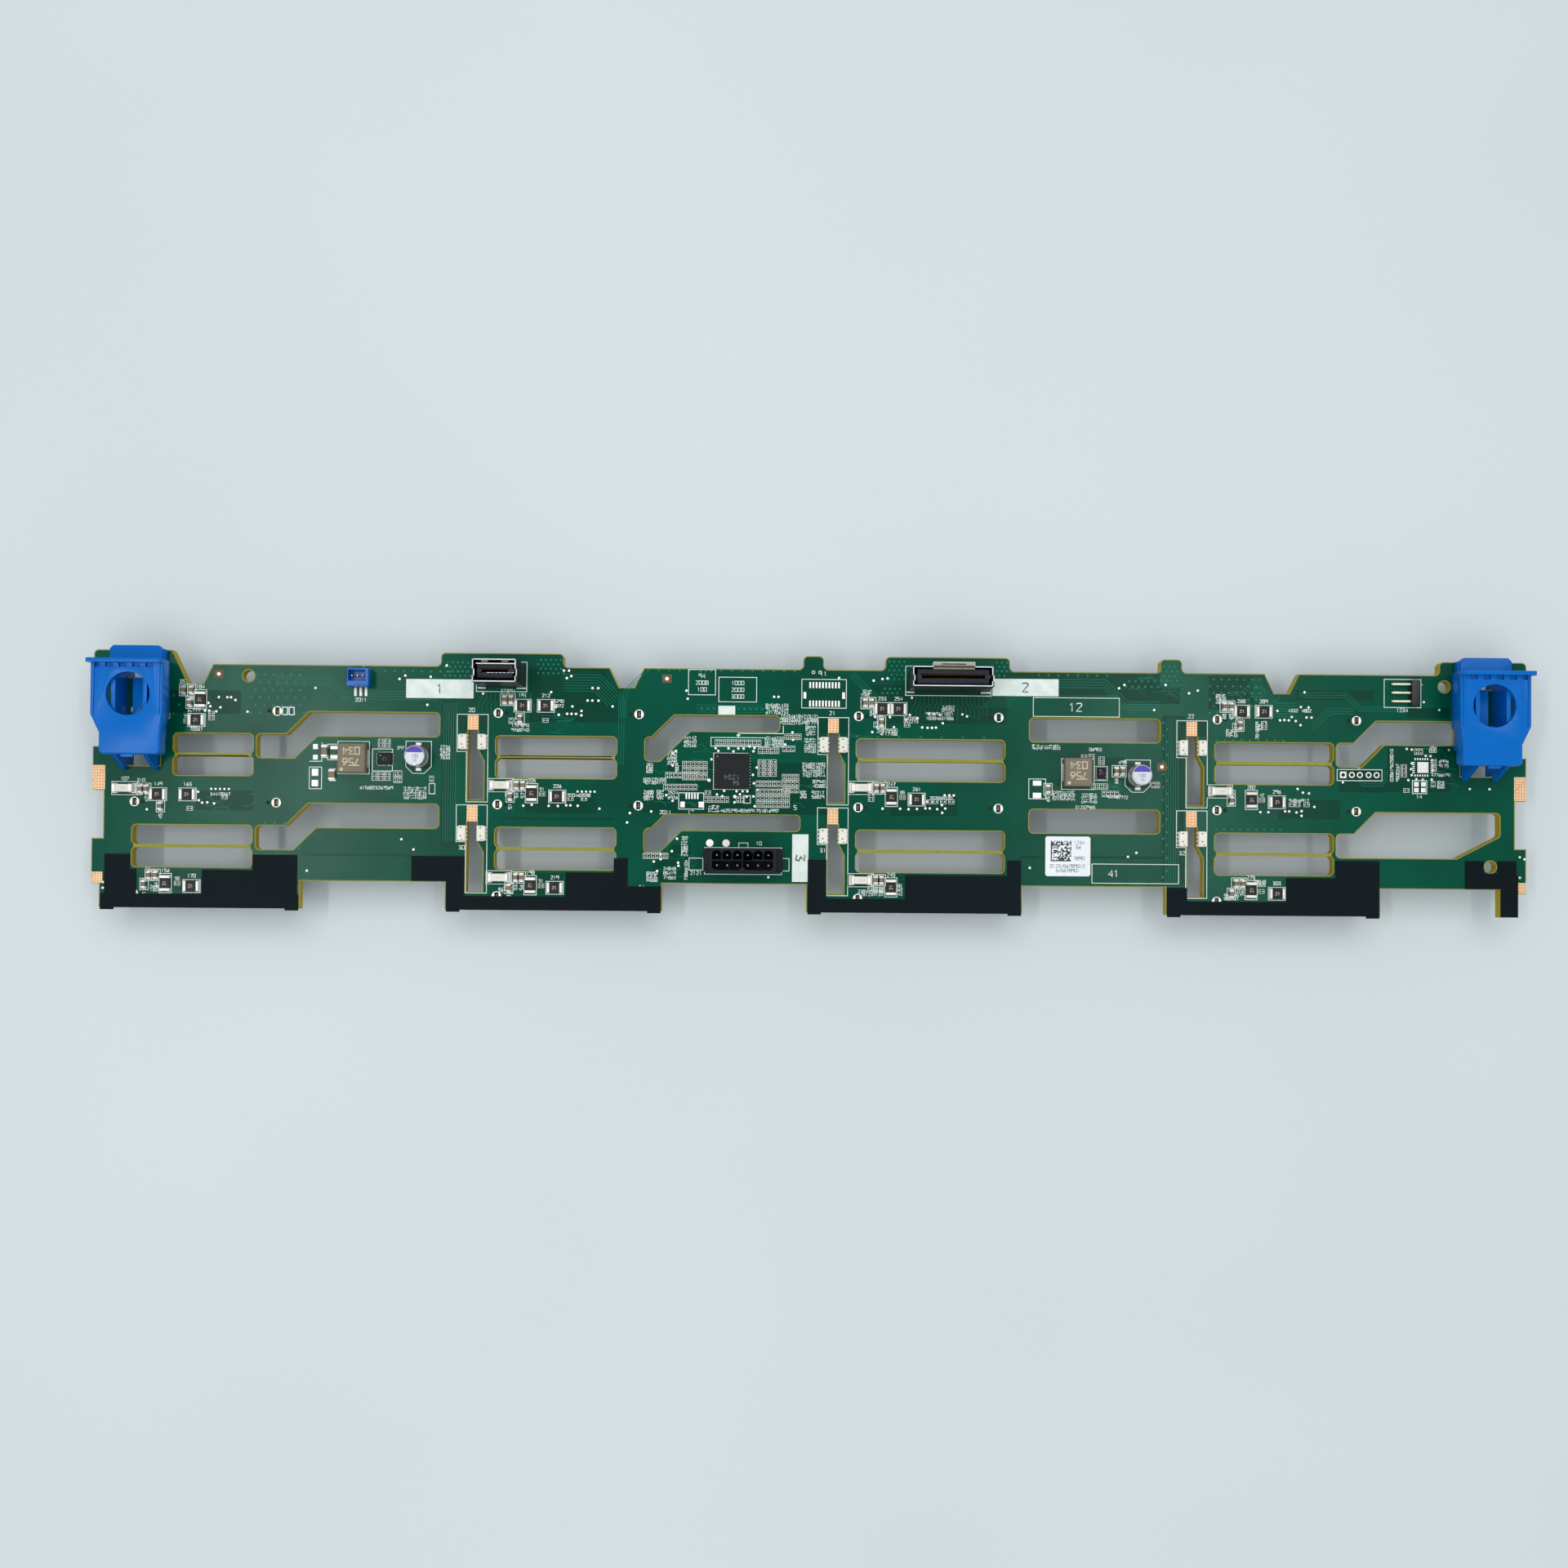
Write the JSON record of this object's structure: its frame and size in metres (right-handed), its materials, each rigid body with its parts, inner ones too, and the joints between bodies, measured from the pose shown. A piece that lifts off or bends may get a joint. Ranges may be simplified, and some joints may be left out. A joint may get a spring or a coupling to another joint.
{
  "type": "drive backplane board",
  "caption": "Long circuit board with cooling slots that joins a server's drives to its cables, with drive sockets on the far side and a latch at each end.",
  "frame": {"origin": "below the middle of the board, in the plane of the drive connectors' mating faces", "axes": "+X along the board to the right as seen on the component side, +Y across it towards the tabbed edge, +Z out of the component side"},
  "size_m": [0.425, 0.0775, 0.0277],
  "materials": {
    "laminate": "green solder mask on glass laminate, with olive routed edges",
    "film": "thin matt black insulating film",
    "black_moulding": "black glass-filled moulding",
    "gold_contact": "gold-flashed copper alloy",
    "tinned_metal": "tinned metal",
    "can_metal": "bare aluminium can with a printed segment",
    "chip_resin": "black moulded resin",
    "inductor_resin": "pressed grey-brown iron powder",
    "ceramic_brown": "brown ceramic with tinned ends",
    "white_block": "white translucent moulding",
    "blue_plastic": "blue moulded plastic",
    "label_white": "white printed label, left blank"
  },
  "bodies": {
    "root": {"board": "laminate", "film_1": "film", "film_2": "film", "film_3": "film", "film_4": "film", "film_5": "film", "drive_connector_1": "black_moulding", "drive_connector_2": "black_moulding", "drive_connector_3": "black_moulding", "drive_connector_4": "black_moulding", "drive_connector_5": "black_moulding", "drive_connector_6": "black_moulding", "drive_connector_7": "black_moulding", "drive_connector_8": "black_moulding", "drive_connector_9": "black_moulding", "drive_connector_10": "black_moulding", "drive_connector_11": "black_moulding", "drive_connector_12": "black_moulding", "power_header": "black_moulding", "angle_header_base": "black_moulding", "signal_body_1": "black_moulding", "signal_body_2": "black_moulding", "capacitor_base_1": "black_moulding", "capacitor_base_2": "black_moulding", "drive_contacts_1": "gold_contact", "drive_contacts_2": "gold_contact", "drive_contacts_3": "gold_contact", "drive_contacts_4": "gold_contact", "drive_contacts_5": "gold_contact", "drive_contacts_6": "gold_contact", "drive_contacts_7": "gold_contact", "drive_contacts_8": "gold_contact", "drive_contacts_9": "gold_contact", "drive_contacts_10": "gold_contact", "drive_contacts_11": "gold_contact", "drive_contacts_12": "gold_contact", "board_locks": "tinned_metal", "power_pins": "tinned_metal", "angle_header_pins": "tinned_metal", "small_leads": "tinned_metal", "signal_shell_1": "tinned_metal", "signal_shell_2": "tinned_metal", "fuses": "tinned_metal", "capacitor_can_1": "can_metal", "capacitor_can_2": "can_metal", "controller_chip": "chip_resin", "regulator_1": "chip_resin", "regulator_2": "chip_resin", "sense_resistors": "chip_resin", "inductor_1": "inductor_resin", "inductor_2": "inductor_resin", "ceramic_capacitors": "ceramic_brown", "indicator_blocks": "white_block", "latch_left": "blue_plastic", "latch_right": "blue_plastic", "small_socket": "blue_plastic", "blank_label": "label_white"}
  },
  "joints": []
}
